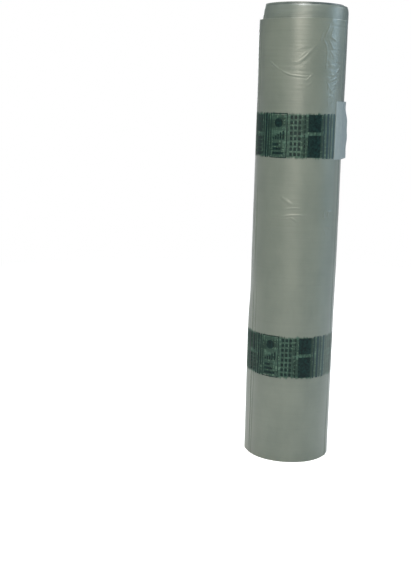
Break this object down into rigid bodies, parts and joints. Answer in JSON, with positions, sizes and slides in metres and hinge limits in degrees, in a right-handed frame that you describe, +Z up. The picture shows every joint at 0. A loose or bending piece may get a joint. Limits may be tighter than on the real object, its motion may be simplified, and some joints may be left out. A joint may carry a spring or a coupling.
{
  "type": "air pillow film roll",
  "caption": "Tall roll of clear printed air pillow film wound on a paper core, inner turns slid up at the top, free edge taped down, for feeding a pillow machine.",
  "frame": {"origin": "on the roll's axis, at the plane of the lower end that it stands on", "axes": "+Z up along the roll's axis; the pictured front faces -Y; the taped free edge of the film is on the +X side"},
  "size_m": [0.0837, 0.0796, 0.414],
  "materials": {
    "core_board": "matte",
    "film": "satin",
    "tape": "satin",
    "print_show_through": "satin",
    "print_ink": "satin"
  },
  "bodies": {
    "root": {"core_tube": "core_board", "film_roll": "film", "tail_tape": "tape", "upper_print_field": "print_show_through", "upper_print_marks": "print_ink", "lower_print_field": "print_show_through", "lower_print_marks": "print_ink"}
  },
  "joints": []
}
